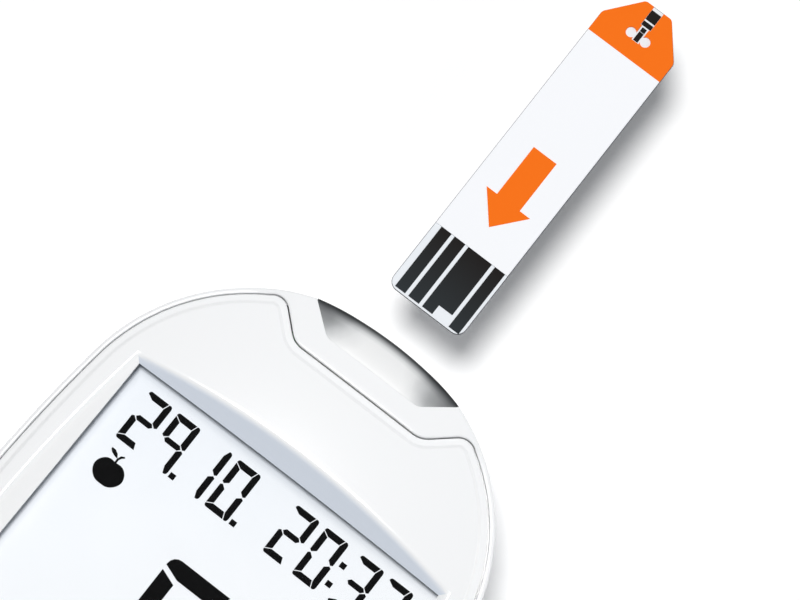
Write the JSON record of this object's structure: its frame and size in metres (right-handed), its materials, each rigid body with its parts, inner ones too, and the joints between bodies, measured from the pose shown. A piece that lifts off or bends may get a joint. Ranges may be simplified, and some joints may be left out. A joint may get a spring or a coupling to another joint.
{
  "type": "blood glucose meter",
  "caption": "Oval handheld blood glucose meter with a large segment display, push buttons, a test strip at its port and a sliding battery door.",
  "frame": {"origin": "middle of the case's flat underside, which the rubber feet lift 0.8 mm off the table", "axes": "+Z out of the display, +Y towards the strip port, +X to the right of the display"},
  "size_m": [0.06, 0.15, 0.0211],
  "materials": {
    "shell_white": "high gloss moulded",
    "insert_silver": "satin metallic moulded",
    "window_clear": "clear polished acrylic",
    "gasket_black": "matte",
    "lcd_glass": "polished",
    "lcd_reflector": "satin",
    "digit_ink": "matte",
    "frame_grey": "matte",
    "light_guide": "frosted",
    "zebra_rubber": "matte",
    "board_green": "solder mask",
    "chip_black": "matte",
    "can_steel": "satin",
    "capacitor_tan": "matte",
    "connector_ivory": "matte",
    "contact_gold": "polished plating",
    "cell_steel": "satin",
    "screw_steel": "satin",
    "foot_rubber": "matte",
    "button_white": "satin moulded",
    "symbol_grey": "printed",
    "strip_film": "satin film",
    "strip_white": "satin film",
    "strip_carbon": "printed",
    "strip_orange": "satin film"
  },
  "bodies": {
    "housing": {"rear_housing": "shell_white", "front_cover": "shell_white", "port_insert": "insert_silver", "display_window": "window_clear", "window_gasket": "gasket_black", "lcd_upper_glass": "lcd_glass", "lcd_lower_glass": "lcd_reflector", "lcd_digits": "digit_ink", "lcd_frame": "frame_grey", "light_guide": "light_guide", "zebra_strip": "zebra_rubber", "main_board": "board_green", "processor_chip": "chip_black", "memory_chip": "chip_black", "clock_crystal": "can_steel", "board_capacitors": "capacitor_tan", "buzzer": "chip_black", "tact_switches": "can_steel", "strip_connector": "connector_ivory", "connector_springs": "contact_gold", "front_cell": "cell_steel", "rear_cell": "cell_steel", "negative_contacts": "contact_gold", "positive_contacts": "contact_gold", "housing_screws": "screw_steel", "rubber_feet": "foot_rubber"},
    "battery_door": {"battery_door": "shell_white"},
    "main_button": {"main_button": "button_white", "main_symbol": "symbol_grey"},
    "left_button": {"left_button": "button_white", "left_symbol": "symbol_grey"},
    "right_button": {"right_button": "button_white", "right_symbol": "symbol_grey"},
    "test_strip": {"strip_base": "strip_film", "strip_electrodes": "strip_carbon", "strip_cover_film": "strip_white", "strip_tip": "strip_orange", "strip_arrow": "strip_orange"}
  },
  "joints": [
    {"name": "battery_door_slide", "type": "slide", "parent": "housing", "child": "battery_door", "axis": [0, -1, 0], "range_m": [0, 0.0465]},
    {"name": "main_button_press", "type": "slide", "parent": "housing", "child": "main_button", "axis": [0, 0, -1], "range_m": [0, 0.0006], "stiffness_N_per_m": 800},
    {"name": "left_button_press", "type": "slide", "parent": "housing", "child": "left_button", "axis": [0, 0, -1], "range_m": [0, 0.0006], "stiffness_N_per_m": 800},
    {"name": "right_button_press", "type": "slide", "parent": "housing", "child": "right_button", "axis": [0, 0, -1], "range_m": [0, 0.0006], "stiffness_N_per_m": 800},
    {"name": "strip_slide", "type": "slide", "parent": "housing", "child": "test_strip", "axis": [0, -1, 0], "range_m": [0, 0.0188]}
  ]
}
